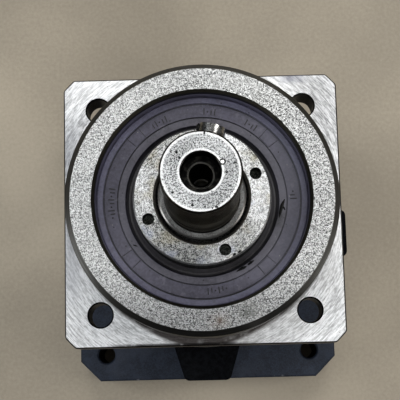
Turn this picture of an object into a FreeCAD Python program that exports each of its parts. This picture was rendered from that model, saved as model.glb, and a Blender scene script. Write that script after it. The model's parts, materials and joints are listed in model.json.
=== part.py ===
import FreeCAD, Part
import math
import os

# Single-stage precision planetary gearbox, square output flange, round keyed
# output shaft, square motor adapter plate.  Millimetres.
# Frame: +Z runs along the output shaft, the base (z = 0) is the motor face of
# the adapter plate, X and Y are square to the flange edges.

# ------------------------------------------------------------ driving sizes
# levels along the axis
Z_PLATE_TOP = 18.0        # adapter plate thickness
Z_RING_BOT = 62.0         # input housing / ring gear joint
Z_RING_TOP = 84.0         # ring gear / output housing joint
Z_FLANGE_REAR = 104.0     # rear face of the mounting flange
Z_FLANGE = 112.0          # mounting face of the flange
Z_PILOT = 129.3           # front face of the centring pilot
Z_NUT = 130.65            # front face of the preload nut
Z_SHOULDER = 132.0        # shaft shoulder
Z_SHAFT = 160.0           # end of the output shaft

# adapter plate
PLATE = 80.0
PLATE_CHAMFER = 6.2
PLATE_MOTOR_PILOT_R = 35.0
PLATE_MOTOR_PILOT_DEPTH = 4.0
PLATE_BORE_R = 20.5
MOTOR_PCD = 90.0
MOTOR_HOLE_R = 2.6        # M6 tapped

# casing
CASE_R = 31.0
CASE_SCREW_R = 26.9       # pitch radius of the case and adapter screws
CHAMBER_R = 22.5
PAD_TIP = 40.0            # reach of the access pads
PAD_TIP_HALF = 6.2
PAD_ROOT_HALF = 9.9
PAD_ROOT = 28.0
PAD_TOP = 58.7
ACCESS_Z = 28.0
ACCESS_R = 3.4

# output flange and pilot
FLANGE_X = 64.5
FLANGE_Y = 63.1
FLANGE_CORNER_R = 43.4    # the four corners are turned about the axis
FLANGE_CORNER_FILLET = 1.1
FLANGE_BEVEL = 0.3
FLANGE_PCD = 68.0
FLANGE_HOLE_R = 2.75
PILOT_R = 30.0
PILOT_CHAMFER = 1.2
BORE_R = 23.5             # common bore of seal and bearings, 47 mm
BORE_CHAMFER = 0.65

# output bearings 25 x 47 x 12 and seal 30 x 47 x 7
BRG_W = 12.0
BRG_BORE_R = 12.5
Z_BRG_FRONT = 105.7
Z_BRG_REAR = 88.7
SEAL_W = 7.0
Z_SEAL_FACE = 124.9

# output shaft
SHAFT_R = 8.0
SHOULDER_R = 9.5
THREAD_R = 9.97
KEY_W = 5.0
KEY_H = 5.0
KEY_L = 25.0
KEY_SINK = 3.0
KEY_TOP_Z = 158.0
KEY_ANGLE = 75.5
CBORE_R = 3.8
CBORE_DEPTH = 4.2
TAP_R = 2.1               # M5 tapped centre hole
TAP_DEPTH = 15.5

# preload nut
NUT_R = 15.0
NUT_BORE_R = 10.0
NUT_PIN_R = 1.3
NUT_PIN_PCR = 12.6
NUT_PIN_ANGLE = 21.8

# gear set, module 1
MODULE = 1.0
Z_SUN = 15
Z_PLANET = 15
Z_RING = 45
CENTRE = 15.0
PRESSURE = math.radians(20.0)
THIN = 0.07               # tooth thinning on each gear for backlash
RING_TIP_R = 21.8
RING_ROOT_R = 23.75
PLANET_ANGLES = (90.0, 210.0, 330.0)
Z_GEAR_BOT = 64.1
Z_GEAR_TOP = 80.1
PIN_R = 3.0
NEEDLE_R = 0.68
NEEDLE_PITCH_R = 3.75
NEEDLES = 15
PLANET_BORE_R = 4.5
CARRIER_R = 21.0
Z_CARRIER_TOP = 87.7
Z_CARRIER_BOT = 81.0
Z_REAR_TOP = 63.2
Z_REAR_BOT = 58.2

# input side
HUB_R = 18.5
Z_HUB_BOT = 12.0
Z_HUB_TOP = 37.0
INPUT_BORE_R = 9.5
Z_INPUT_BORE_TOP = 43.0
INPUT_R = 12.5
Z_INBRG = 46.0
INBRG_W = 9.0
INBRG_R = 21.0
FIT = 0.02                # radial gap drawn at press fits


# ------------------------------------------------------------ helpers
V = FreeCAD.Vector
ZAX = V(0, 0, 1)


def cyl(r, z0, z1, x=0.0, y=0.0):
    return Part.makeCylinder(r, z1 - z0, V(x, y, z0), ZAX)


def tube(ro, ri, z0, z1, x=0.0, y=0.0):
    return cyl(ro, z0, z1, x, y).cut(cyl(ri, z0 - 1, z1 + 1, x, y))


def polar(r, deg):
    a = math.radians(deg)
    return r * math.cos(a), r * math.sin(a)


def prism(points, z0, z1):
    pts = [V(x, y, z0) for x, y in points]
    pts.append(pts[0])
    face = Part.Face(Part.makePolygon(pts))
    return face.extrude(V(0, 0, z1 - z0))


def revolve(profile):
    pts = [V(r, 0, z) for r, z in profile]
    pts.append(pts[0])
    face = Part.Face(Part.makePolygon(pts))
    return face.revolve(V(0, 0, 0), ZAX, 360)


def cone(r0, r1, z0, z1, x=0.0, y=0.0):
    return Part.makeCone(r0, r1, z1 - z0, V(x, y, z0), ZAX)


def cyl_dir(r, length, base, direction):
    return Part.makeCylinder(r, length, base, direction)


def rotz(shape, deg, x=0.0, y=0.0):
    s = shape.copy()
    s.rotate(V(x, y, 0), ZAX, deg)
    return s


def cut_all(shape, tools):
    return shape.cut(Part.makeCompound(tools)) if tools else shape


def fuse_all(shapes):
    s = shapes[0].multiFuse(shapes[1:])
    return s.removeSplitter()


def chamfer_square(half_x, half_y, c):
    return [(-half_x + c, -half_y), (half_x - c, -half_y), (half_x, -half_y + c),
            (half_x, half_y - c), (half_x - c, half_y), (-half_x + c, half_y),
            (-half_x, half_y - c), (-half_x, -half_y + c)]


def bevel_plate(half_x, half_y, c, z0, z1, b):
    # chamfered rectangle with a small bevel b along its front and rear outline
    wires = []
    for z, inset in ((z0, b), (z0 + b, 0.0), (z1 - b, 0.0), (z1, b)):
        pts = [V(x, y, z) for x, y in
               chamfer_square(half_x - inset, half_y - inset, c - inset * 0.586)]
        pts.append(pts[0])
        wires.append(Part.makePolygon(pts))
    return Part.makeLoft(wires, True, True)


def inv(a):
    return math.tan(a) - a


def tooth_profile(teeth, r_root, r_tip, widen, centre_deg, steps=5):
    # outline of an external gear; widen is added to the tooth thickness at the
    # pitch circle, negative to thin it
    rp = MODULE * teeth / 2.0
    rb = rp * math.cos(PRESSURE)
    half = (math.pi * MODULE / 2.0 + widen) / (2.0 * rp)
    r_start = max(rb * 1.0005, r_root)
    radii = [r_start + (r_tip - r_start) * i / (steps - 1.0) for i in range(steps)]
    flank = []
    for r in radii:
        ar = math.acos(min(1.0, rb / r))
        flank.append((r, half + inv(PRESSURE) - inv(ar)))
    pts = []
    c0 = math.radians(centre_deg)
    for i in range(teeth):
        c = c0 + i * 2.0 * math.pi / teeth
        rows = list(flank)
        if r_root < r_start - 0.05:
            rows = [(r_root, flank[0][1] + 0.25 * MODULE / r_root)] + \
                   [(r_root + 0.22 * MODULE, flank[0][1])] + rows
        for r, a in rows:
            pts.append((r * math.cos(c - a), r * math.sin(c - a)))
        for r, a in reversed(rows):
            pts.append((r * math.cos(c + a), r * math.sin(c + a)))
    return pts


def hex_prism(af, z0, z1, x=0.0, y=0.0, turn=0.0):
    r = af / math.sqrt(3.0)
    pts = []
    for i in range(6):
        px, py = polar(r, 60.0 * i + turn)
        pts.append((x + px, y + py))
    return prism(pts, z0, z1)


def socket_screw_up(x, y, z_head, head_h, head_r, shank_r, z_tip, af):
    # cap screw entered from below: head from z_head up to z_head + head_h
    head = cyl(head_r, z_head, z_head + head_h, x, y)
    head = head.cut(hex_prism(af, z_head - 1, z_head + head_h * 0.55, x, y))
    shank = cyl(shank_r, z_head + head_h, z_tip - 0.5, x, y)
    tip = cone(shank_r, shank_r - 0.5, z_tip - 0.5, z_tip, x, y)
    return fuse_all([head, shank, tip])


def race_groove(shape, pitch_r, zc, r):
    return shape.cut(Part.makeTorus(pitch_r, r, V(0, 0, zc), ZAX))


def ring_rounded(ro, ri, z0, z1, c=0.5):
    return revolve([(ri + c, z0), (ro - c, z0), (ro, z0 + c), (ro, z1 - c),
                    (ro - c, z1), (ri + c, z1), (ri, z1 - c), (ri, z0 + c)])


def ball_set(n, pitch_r, zc, r, start=0.0):
    balls = []
    for i in range(n):
        x, y = polar(pitch_r, start + 360.0 * i / n)
        balls.append(Part.makeSphere(r, V(x, y, zc)))
    return balls


def ball_cage(n, pitch_r, zc, ball_r, half_w, half_t, start=0.0):
    ring = tube(pitch_r + half_t, pitch_r - half_t, zc - half_w, zc + half_w)
    pockets = []
    for i in range(n):
        a = start + 360.0 * i / n
        x, y = polar(1.0, a)
        bx, by = polar(pitch_r - half_t - 1.0, a)
        pockets.append(cyl_dir(ball_r + 0.15, 2 * half_t + 2.0, V(bx, by, zc), V(x, y, 0)))
    return cut_all(ring, pockets)


NODES = {}


def put(name, shape):
    NODES[name] = shape


# ------------------------------------------------------------ adapter plate
plate = bevel_plate(PLATE / 2, PLATE / 2, PLATE_CHAMFER, 0.0, Z_PLATE_TOP, 0.5)
tools = [cyl(PLATE_MOTOR_PILOT_R, -1, PLATE_MOTOR_PILOT_DEPTH),
         cone(PLATE_MOTOR_PILOT_R + 0.8, PLATE_MOTOR_PILOT_R, -0.001, 0.8),
         cyl(PLATE_BORE_R, -1, Z_PLATE_TOP + 1)]
MOTOR_XY = MOTOR_PCD / 2 / math.sqrt(2.0)
for sx in (-1, 1):
    for sy in (-1, 1):
        x, y = sx * MOTOR_XY, sy * MOTOR_XY
        tools.append(cyl(MOTOR_HOLE_R, -1, Z_PLATE_TOP + 1, x, y))
        tools.append(cone(MOTOR_HOLE_R + 0.3, MOTOR_HOLE_R, -0.001, 0.3, x, y))
        tools.append(cone(MOTOR_HOLE_R, MOTOR_HOLE_R + 0.5, Z_PLATE_TOP - 0.5,
                          Z_PLATE_TOP + 0.001, x, y))
ADAPTER_SCREW_ANGLES = (67.5, 157.5, 247.5, 337.5)
for a in ADAPTER_SCREW_ANGLES:
    x, y = polar(CASE_SCREW_R, a)
    tools.append(cyl(3.7, PLATE_MOTOR_PILOT_DEPTH - 1, 8.5, x, y))
    tools.append(cyl(2.2, 0, Z_PLATE_TOP + 1, x, y))
put("motor_adapter_plate", cut_all(plate, tools))

screws = []
for a in ADAPTER_SCREW_ANGLES:
    x, y = polar(CASE_SCREW_R, a)
    screws.append(socket_screw_up(x, y, 4.5, 4.0, 3.5, 2.0, 30.0, 3.0))
put("adapter_screws", Part.makeCompound(screws))


# ------------------------------------------------------------ input housing
def pad_section(reach, tip_half, root_half, root, fillet, z0, z1):
    # tapered pad pointing along -Y with rounded outer corners
    dx = root_half - tip_half
    dy = reach - root
    ln = math.hypot(dx, dy)
    ux, uy = dx / ln, dy / ln
    half_turn = math.atan2(dx, dy)
    t = fillet * math.tan((math.pi / 2 - half_turn) / 2)
    pts_r = []
    cx = tip_half - t
    cy = -reach + fillet
    steps = 6
    a0 = -math.pi / 2
    a1 = -half_turn
    for i in range(steps + 1):
        a = a0 + (a1 - a0) * i / steps
        pts_r.append((cx + fillet * math.cos(a), cy + fillet * math.sin(a)))
    pts_r.append((root_half, -root))
    pts_l = [(-x, y) for x, y in reversed(pts_r)]
    return prism(pts_r + pts_l, z0, z1)


pad = pad_section(PAD_TIP, PAD_TIP_HALF, PAD_ROOT_HALF, PAD_ROOT, 1.6,
                  Z_PLATE_TOP, PAD_TOP)
pad_y = pad
pad_x = rotz(pad, 90.0)
body = fuse_all([cyl(CASE_R, Z_PLATE_TOP, Z_RING_BOT), pad_y, pad_x])
CASE_SCREW_ANGLES = (45.0, 135.0, 225.0, 315.0)
tools = [cyl(CHAMBER_R, Z_PLATE_TOP - 1, 38.0),
         cyl(16.0, 37.0, 41.0),
         cyl(17.5, 40.0, 47.0),
         cyl(INBRG_R, Z_INBRG, 58.0),
         tube(22.2, 20.0, 55.05, 56.85),
         cyl(22.0, 57.0, Z_RING_BOT + 1)]
for a in CASE_SCREW_ANGLES:
    x, y = polar(CASE_SCREW_R, a)
    tools.append(cyl(3.6, Z_PLATE_TOP - 1, 22.6, x, y))
    tools.append(cyl(2.15, Z_PLATE_TOP, Z_RING_BOT + 1, x, y))
for a in ADAPTER_SCREW_ANGLES:
    x, y = polar(CASE_SCREW_R, a)
    tools.append(cyl(2.0 + FIT, Z_PLATE_TOP - 1, 31.0, x, y))
access = Part.makeCompound([
    cyl_dir(ACCESS_R, 22.0, V(0, -PAD_TIP - 1, ACCESS_Z), V(0, 1, 0)),
    cyl_dir(4.3, 2.6, V(0, -PAD_TIP - 1, ACCESS_Z), V(0, 1, 0))])
tools.append(access)
tools.append(rotz(access, 90.0))
put("input_housing", cut_all(body, tools))

# press-in access plug: domed head sunk in the pad, ribbed stem
plug = fuse_all([
    cyl_dir(4.25, 1.3, V(0, -PAD_TIP + 0.15, ACCESS_Z), V(0, 1, 0)),
    cyl_dir(3.35, 8.0, V(0, -PAD_TIP + 1.3, ACCESS_Z), V(0, 1, 0))])
plug = plug.cut(Part.makeBox(1.0, 0.8, 5.2, V(-0.5, -PAD_TIP - 0.05, ACCESS_Z - 2.6)))
put("access_plugs", Part.makeCompound([plug, rotz(plug, 90.0)]))

screws = []
for a in CASE_SCREW_ANGLES:
    x, y = polar(CASE_SCREW_R, a)
    screws.append(socket_screw_up(x, y, 18.4, 4.0, 3.5, 2.0, 97.0, 3.0))
put("case_screws", Part.makeCompound(screws))

# ------------------------------------------------------------ ring gear
space = tooth_profile(Z_RING, RING_TIP_R, RING_ROOT_R, THIN, 90.0, steps=5)
ring = cyl(CASE_R, Z_RING_BOT, Z_RING_TOP).cut(
    prism(space, Z_RING_BOT - 1, Z_RING_TOP + 1))
ring = cut_all(ring, [cyl(2.15, Z_RING_BOT - 1, Z_RING_TOP + 1, *polar(CASE_SCREW_R, a))
                      for a in CASE_SCREW_ANGLES])
put("ring_gear", ring)

# ------------------------------------------------------------ output housing
flange = Part.makeBox(FLANGE_X, FLANGE_Y, Z_FLANGE - Z_FLANGE_REAR,
                      V(-FLANGE_X / 2, -FLANGE_Y / 2, Z_FLANGE_REAR))
flange = flange.common(cyl(FLANGE_CORNER_R, Z_FLANGE_REAR - 1, Z_FLANGE + 1))
upright = [e for e in flange.Edges
           if abs(e.BoundBox.ZLength - (Z_FLANGE - Z_FLANGE_REAR)) < 0.01]
flange = flange.makeFillet(FLANGE_CORNER_FILLET, upright)
rim = [e for e in flange.Edges if e.BoundBox.ZLength < 0.001]
flange = flange.makeChamfer(FLANGE_BEVEL, rim)
pilot = revolve([(0, Z_FLANGE - 1), (PILOT_R, Z_FLANGE - 1),
                 (PILOT_R, Z_PILOT - PILOT_CHAMFER),
                 (PILOT_R - PILOT_CHAMFER, Z_PILOT), (0, Z_PILOT)])
house = fuse_all([cyl(CASE_R, Z_RING_TOP, Z_FLANGE_REAR + 1), flange, pilot])
FLANGE_XY = FLANGE_PCD / 2 / math.sqrt(2.0)
tools = [cyl(BORE_R, Z_RING_TOP - 1, Z_BRG_REAR + BRG_W),
         cyl(20.5, Z_RING_TOP - 1, Z_PILOT + 1),
         cyl(BORE_R, Z_BRG_FRONT, Z_PILOT + 1),
         cone(BORE_R, BORE_R + BORE_CHAMFER, Z_PILOT - BORE_CHAMFER, Z_PILOT + 0.001)]
for sx in (-1, 1):
    for sy in (-1, 1):
        x, y = sx * FLANGE_XY, sy * FLANGE_XY
        tools.append(cyl(FLANGE_HOLE_R, Z_FLANGE_REAR - 1, Z_FLANGE + 1, x, y))
        tools.append(cone(FLANGE_HOLE_R, FLANGE_HOLE_R + 0.3, Z_FLANGE - 0.3,
                          Z_FLANGE + 0.001, x, y))
for a in CASE_SCREW_ANGLES:
    x, y = polar(CASE_SCREW_R, a)
    tools.append(cyl(2.0 + FIT, Z_RING_TOP - 1, 98.5, x, y))
put("output_housing", cut_all(house, tools))

# ------------------------------------------------------------ output seal
zs = Z_SEAL_FACE
zb = Z_SEAL_FACE - SEAL_W
ro = BORE_R - FIT
lip = NUT_R + 0.07
put("output_seal", revolve([
    (ro, zb + 0.3), (ro, zs - 0.45), (ro - 0.35, zs - 0.02), (22.0, zs),
    (21.95, zs - 0.35), (21.65, zs - 0.38), (21.58, zs - 0.12),
    (18.85, zs - 0.18), (18.8, zs - 0.42), (18.62, zs - 0.42), (18.55, zs - 0.22),
    (17.05, zs - 0.34), (16.88, zs - 0.62), (16.35, zs - 1.9), (15.95, zs - 1.95),
    (lip + 0.22, zs - 0.95), (lip, zs - 1.05), (lip, zs - 1.25),
    (15.75, zs - 2.9), (lip, zs - 4.5), (lip, zs - 4.65),
    (15.9, zs - 6.0), (16.25, zs - 6.0), (16.25, zs - 4.5), (16.55, zs - 3.9),
    (17.3, zs - 3.1), (21.6, zs - 3.1), (22.3, zs - 3.8), (22.3, zb),
    (ro - 0.3, zb)]))
put("seal_garter_spring", Part.makeTorus(16.8, 0.48, V(0, 0, zs - 5.25), ZAX))


# ------------------------------------------------------------ output bearings
OUT_PITCH = 18.0
OUT_BALL = 3.1
OUT_N = 11
for label, z0, start in (("front", Z_BRG_FRONT, 0.0), ("rear", Z_BRG_REAR, 11.0)):
    z1 = z0 + BRG_W
    zc = z0 + BRG_W / 2
    outer = ring_rounded(BORE_R - FIT, 19.9, z0, z1, 0.5)
    inner = ring_rounded(16.15, BRG_BORE_R + FIT, z0, z1, 0.5)
    put("%s_bearing_outer_race" % label, race_groove(outer, OUT_PITCH, zc, OUT_BALL + 0.12))
    put("%s_bearing_inner_race" % label, race_groove(inner, OUT_PITCH, zc, OUT_BALL + 0.12))
    put("%s_bearing_balls" % label,
        Part.makeCompound(ball_set(OUT_N, OUT_PITCH, zc, OUT_BALL, start)))
    put("%s_bearing_cage" % label,
        ball_cage(OUT_N, OUT_PITCH, zc, OUT_BALL, 4.4, 0.75, start))

# ------------------------------------------------------------ output shaft
key_dir = math.radians(KEY_ANGLE)


def key_shape(width, length, r_in, r_out, z_top, grow=0.0):
    # round-ended parallel key lying along Z, radial from r_in to r_out
    w = width / 2 + grow
    z_hi = z_top - width / 2
    z_lo = z_top - length + width / 2
    flat = Part.makeBox(2 * w, r_out - r_in, z_hi - z_lo, V(-w, r_in, z_lo))
    e1 = cyl_dir(w, r_out - r_in, V(0, r_in, z_hi), V(0, 1, 0))
    e2 = cyl_dir(w, r_out - r_in, V(0, r_in, z_lo), V(0, 1, 0))
    s = fuse_all([flat, e1, e2])
    return rotz(s, KEY_ANGLE - 90.0)


shaft = revolve([
    (0, Z_CARRIER_BOT), (CARRIER_R - 0.5, Z_CARRIER_BOT), (CARRIER_R, Z_CARRIER_BOT + 0.5),
    (CARRIER_R, Z_CARRIER_TOP - 0.6), (CARRIER_R - 0.6, Z_CARRIER_TOP),
    (15.4, Z_CARRIER_TOP), (15.4, Z_BRG_REAR), (BRG_BORE_R, Z_BRG_REAR),
    (BRG_BORE_R, 117.0), (BRG_BORE_R - 0.4, 117.4), (THREAD_R - 0.5, 117.4),
    (THREAD_R, 117.9), (THREAD_R, 128.0), (9.0, 128.5), (9.0, 130.1),
    (SHOULDER_R, 130.3), (SHOULDER_R, Z_SHOULDER - 0.35), (SHOULDER_R - 0.35, Z_SHOULDER),
    (SHAFT_R + 0.25, Z_SHOULDER), (SHAFT_R, Z_SHOULDER + 0.3),
    (SHAFT_R, Z_SHAFT - 0.45), (SHAFT_R - 0.35, Z_SHAFT), (0, Z_SHAFT)])
posts = tube(20.4, 11.2, Z_REAR_TOP, Z_CARRIER_BOT + 1)
posts = cut_all(posts, [cyl(9.3, Z_REAR_TOP - 1, Z_CARRIER_BOT + 2, *polar(CENTRE, a))
                        for a in PLANET_ANGLES])
POST_ANGLES = (30.0, 150.0, 270.0)
shaft = fuse_all([shaft, posts])
tools = [key_shape(KEY_W, KEY_L, SHAFT_R - KEY_SINK, SHAFT_R + 2, KEY_TOP_Z, FIT),
         cyl(CBORE_R, Z_SHAFT - CBORE_DEPTH, Z_SHAFT + 1),
         cone(CBORE_R, CBORE_R + 0.25, Z_SHAFT - 0.25, Z_SHAFT + 0.001),
         cone(TAP_R, TAP_R + 0.55, Z_SHAFT - CBORE_DEPTH - 0.55, Z_SHAFT - CBORE_DEPTH + 0.001),
         cyl(TAP_R, Z_SHAFT - CBORE_DEPTH - TAP_DEPTH, Z_SHAFT),
         cyl(1.7, Z_SHAFT - CBORE_DEPTH - TAP_DEPTH - 3.0, Z_SHAFT),
         cone(0.05, 1.7, Z_SHAFT - CBORE_DEPTH - TAP_DEPTH - 4.0,
              Z_SHAFT - CBORE_DEPTH - TAP_DEPTH - 3.0)]
for a in PLANET_ANGLES:
    x, y = polar(CENTRE, a)
    tools.append(cyl(PIN_R + FIT, Z_CARRIER_BOT - 1, 86.3, x, y))
for a in POST_ANGLES:
    x, y = polar(16.2, a)
    tools.append(cyl(2.0 + FIT, Z_REAR_TOP - 1, 76.0, x, y))
put("output_shaft_carrier", cut_all(shaft, tools))

key = key_shape(KEY_W, KEY_L, SHAFT_R - KEY_SINK + FIT, SHAFT_R - KEY_SINK + KEY_H, KEY_TOP_Z)
put("shaft_key", key)

rear = revolve([(9.3, Z_REAR_BOT), (CARRIER_R - 0.5, Z_REAR_BOT),
                (CARRIER_R, Z_REAR_BOT + 0.5), (CARRIER_R, Z_REAR_TOP - 0.5),
                (CARRIER_R - 0.5, Z_REAR_TOP), (9.3, Z_REAR_TOP)])
tools = [cyl(PIN_R + FIT, Z_REAR_BOT + 1.0, Z_REAR_TOP + 1, *polar(CENTRE, a))
         for a in PLANET_ANGLES]
screws = []
for a in POST_ANGLES:
    x, y = polar(16.2, a)
    tools.append(cyl(2.0 + 2 * FIT, Z_REAR_BOT - 1, Z_REAR_TOP + 1, x, y))
    tools.append(cone(3.9, 2.0 + 2 * FIT, Z_REAR_BOT - 0.001, Z_REAR_BOT + 1.9, x, y))
    head = cone(3.75, 2.0, Z_REAR_BOT + 0.1, Z_REAR_BOT + 1.85, x, y)
    head = head.cut(hex_prism(2.5, Z_REAR_BOT - 1, Z_REAR_BOT + 1.4, x, y))
    shank = cyl(2.0, Z_REAR_BOT + 1.85, 74.0, x, y)
    screws.append(fuse_all([head, shank]))
put("carrier_rear_plate", cut_all(rear, tools))
put("carrier_screws", Part.makeCompound(screws))

pins = []
washers = []
for a in PLANET_ANGLES:
    x, y = polar(CENTRE, a)
    pin = cyl(PIN_R, Z_REAR_BOT + 1.1, 86.2, x, y)
    pins.append(pin)
    washers.append(tube(6.0, PIN_R + FIT, Z_GEAR_TOP + 0.12, Z_CARRIER_BOT, x, y))
    washers.append(tube(6.0, PIN_R + FIT, Z_REAR_TOP, Z_GEAR_BOT - 0.12, x, y))
put("planet_pins", Part.makeCompound(pins))
put("planet_thrust_washers", Part.makeCompound(washers))

# preload nut: the seal runs on its outside, four face holes take a pin wrench
nut = revolve([(NUT_BORE_R + 0.5, 117.7), (NUT_R - 0.4, 117.7), (NUT_R, 118.1),
               (NUT_R, Z_NUT - 0.35), (NUT_R - 0.35, Z_NUT),
               (NUT_BORE_R + 0.6, Z_NUT), (NUT_BORE_R, Z_NUT - 0.6),
               (NUT_BORE_R, 118.2)])
nut = cut_all(nut, [cyl(NUT_PIN_R, Z_NUT - 4.0, Z_NUT + 1,
                        *polar(NUT_PIN_PCR, NUT_PIN_ANGLE + 90.0 * i)) for i in range(4)])
put("preload_nut", nut)

# ------------------------------------------------------------ planets
for i, a in enumerate(PLANET_ANGLES):
    x, y = polar(CENTRE, a)
    prof = tooth_profile(Z_PLANET, MODULE * (Z_PLANET / 2 - 1.25),
                         MODULE * (Z_PLANET / 2 + 1), -THIN, a)
    prof = [(px + x, py + y) for px, py in prof]
    gear = prism(prof, Z_GEAR_BOT, Z_GEAR_TOP)
    gear = cut_all(gear, [cyl(PLANET_BORE_R, Z_GEAR_BOT - 1, Z_GEAR_TOP + 1, x, y)])
    put("planet_gear_%d" % (i + 1), gear)
    needles = []
    for k in range(NEEDLES):
        nx, ny = polar(NEEDLE_PITCH_R, a + 360.0 * k / NEEDLES)
        needles.append(cyl(NEEDLE_R, Z_GEAR_BOT + 0.7, Z_GEAR_TOP - 0.7, x + nx, y + ny))
    put("planet_needles_%d" % (i + 1), Part.makeCompound(needles))

# ------------------------------------------------------------ sun gear shaft
sun = prism(tooth_profile(Z_SUN, MODULE * (Z_SUN / 2 - 1.25), MODULE * (Z_SUN / 2 + 1),
                          -THIN, PLANET_ANGLES[0]), 63.6, 80.5)
stem = revolve([(0, Z_HUB_BOT), (HUB_R - 0.6, Z_HUB_BOT), (HUB_R, Z_HUB_BOT + 0.6),
                (HUB_R, Z_HUB_TOP - 0.6), (HUB_R - 0.6, Z_HUB_TOP),
                (INPUT_R, Z_HUB_TOP), (INPUT_R, 55.1), (11.8, 55.1), (11.8, 56.3),
                (INPUT_R, 56.3), (INPUT_R, 56.9), (INPUT_R - 0.4, 57.3), (5.9, 57.3),
                (5.9, 65.0), (0, 65.0)])
sun = fuse_all([stem, sun])
tools = [cyl(INPUT_BORE_R, Z_HUB_BOT - 1, Z_INPUT_BORE_TOP),
         cone(INPUT_BORE_R + 0.8, INPUT_BORE_R, Z_HUB_BOT - 0.001, Z_HUB_BOT + 0.8),
         Part.makeBox(6.0, 4.0, 26.0, V(-3.0, -12.3, Z_HUB_BOT - 1)),
         cyl_dir(3.0 + FIT, 14.0, V(0, -20.0, ACCESS_Z), V(0, 1, 0)),
         cyl_dir(3.0 + FIT, 14.0, V(20.0, 0, ACCESS_Z), V(-1, 0, 0))]
put("sun_gear_shaft", cut_all(sun, tools))


def set_screw(start):
    # hollow hexagon set screw, socket outward, laid along -Y
    s = cyl_dir(3.0, 6.0, V(0, -start - 6.0, ACCESS_Z), V(0, 1, 0))
    hexa = hex_prism(3.0, 0, 3.0)
    hexa.rotate(V(0, 0, 0), V(1, 0, 0), -90)
    hexa.translate(V(0, -start - 6.001, ACCESS_Z))
    return s.cut(hexa)


put("hub_set_screws", Part.makeCompound([set_screw(12.35), rotz(set_screw(9.6), 90.0)]))

# input bearing 25 x 42 x 9
IN_PITCH = 16.75
IN_BALL = 2.4
IN_N = 11
zc = Z_INBRG + INBRG_W / 2
put("input_bearing_outer_race",
    race_groove(ring_rounded(INBRG_R - FIT, 18.4, Z_INBRG, Z_INBRG + INBRG_W, 0.35),
                IN_PITCH, zc, IN_BALL + 0.12))
put("input_bearing_inner_race",
    race_groove(ring_rounded(15.1, INPUT_R + FIT, Z_INBRG, Z_INBRG + INBRG_W, 0.35),
                IN_PITCH, zc, IN_BALL + 0.12))
put("input_bearing_balls", Part.makeCompound(ball_set(IN_N, IN_PITCH, zc, IN_BALL, 5.0)))
put("input_bearing_cage", ball_cage(IN_N, IN_PITCH, zc, IN_BALL, 3.3, 0.6, 5.0))


def circlip_internal(r_out, r_in, z0, z1):
    c = tube(r_out, r_in, z0, z1)
    gap = Part.makeBox(7.0, 12.0, z1 - z0 + 2, V(-3.5, -r_out - 2, z0 - 1))
    c = c.cut(gap)
    for s in (-1, 1):
        ear = cyl(1.7, z0, z1, s * 5.2, -math.sqrt((r_in + 0.3) ** 2 - 5.2 ** 2))
        c = c.fuse(ear)
    for s in (-1, 1):
        c = c.cut(cyl(0.8, z0 - 1, z1 + 1, s * 5.2, -math.sqrt((r_in + 0.3) ** 2 - 5.2 ** 2)))
    return c.removeSplitter()


put("housing_circlip", circlip_internal(22.1, 19.3, 55.15, 56.75))
clip = tube(14.3, 11.85, 55.12, 56.25)
clip = clip.cut(Part.makeBox(6.0, 8.0, 4.0, V(-3.0, -17.0, 54.0)))
put("input_shaft_circlip", clip)

# input shaft seal 25 x 35 x 5
zi = 40.0
put("input_shaft_seal", revolve([
    (17.5 - FIT, zi + 0.2), (17.5 - FIT, zi + 5.0), (16.6, zi + 5.0), (16.6, zi + 1.6),
    (14.2, zi + 1.6), (13.9, zi + 2.2), (13.9, zi + 4.4), (13.4, zi + 4.4),
    (INPUT_R + 0.07, zi + 3.1), (INPUT_R + 0.07, zi + 2.9), (13.2, zi + 1.2),
    (13.4, zi), (17.3, zi)]))

# ------------------------------------------------------------ export
os.makedirs("parts", exist_ok=True)
for name, shape in NODES.items():
    if shape.ShapeType == "Compound" and len(shape.Solids) == 1:
        shape = shape.Solids[0]
    solids = shape.Solids
    bad = [s for s in solids if not s.isValid() or s.Volume <= 0]
    if bad or not solids:
        print("CHECK", name, "solids", len(solids), "bad", len(bad))
    shape.exportStep("parts/%s.step" % name)
    bb = shape.BoundBox
    print("%-28s solids %2d  vol %10.1f  z %7.2f..%7.2f  x %6.2f..%6.2f  y %6.2f..%6.2f" % (
        name, len(solids), shape.Volume, bb.ZMin, bb.ZMax, bb.XMin, bb.XMax, bb.YMin, bb.YMax))
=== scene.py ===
import json
import math
import random

import bmesh
import bpy
from mathutils import Matrix, Vector


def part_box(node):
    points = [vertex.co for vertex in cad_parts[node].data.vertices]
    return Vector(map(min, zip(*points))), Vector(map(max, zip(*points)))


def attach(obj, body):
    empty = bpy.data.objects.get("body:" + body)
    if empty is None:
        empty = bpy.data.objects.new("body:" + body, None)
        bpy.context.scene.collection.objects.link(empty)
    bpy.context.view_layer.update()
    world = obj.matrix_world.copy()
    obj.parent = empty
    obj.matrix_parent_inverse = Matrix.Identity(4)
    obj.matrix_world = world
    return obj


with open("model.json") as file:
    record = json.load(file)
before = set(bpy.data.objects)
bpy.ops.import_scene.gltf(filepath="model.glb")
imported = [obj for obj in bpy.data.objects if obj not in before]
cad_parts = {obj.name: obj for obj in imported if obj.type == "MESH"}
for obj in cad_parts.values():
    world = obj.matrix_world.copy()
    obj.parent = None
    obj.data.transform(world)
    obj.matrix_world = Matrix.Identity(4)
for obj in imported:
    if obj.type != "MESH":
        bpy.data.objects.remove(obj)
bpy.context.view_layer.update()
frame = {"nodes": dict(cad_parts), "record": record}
NODES = frame["nodes"]
MM = 0.001

# axial levels that the looks refer to, most read from the imported pieces
Z_FLANGE = 0.112
Z_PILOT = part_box("output_housing")[1].z
Z_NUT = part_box("preload_nut")[1].z
Z_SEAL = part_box("output_seal")[1].z
Z_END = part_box("output_shaft_carrier")[1].z
Z_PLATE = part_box("motor_adapter_plate")[1].z
Z_SHOULDER = 0.132


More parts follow.
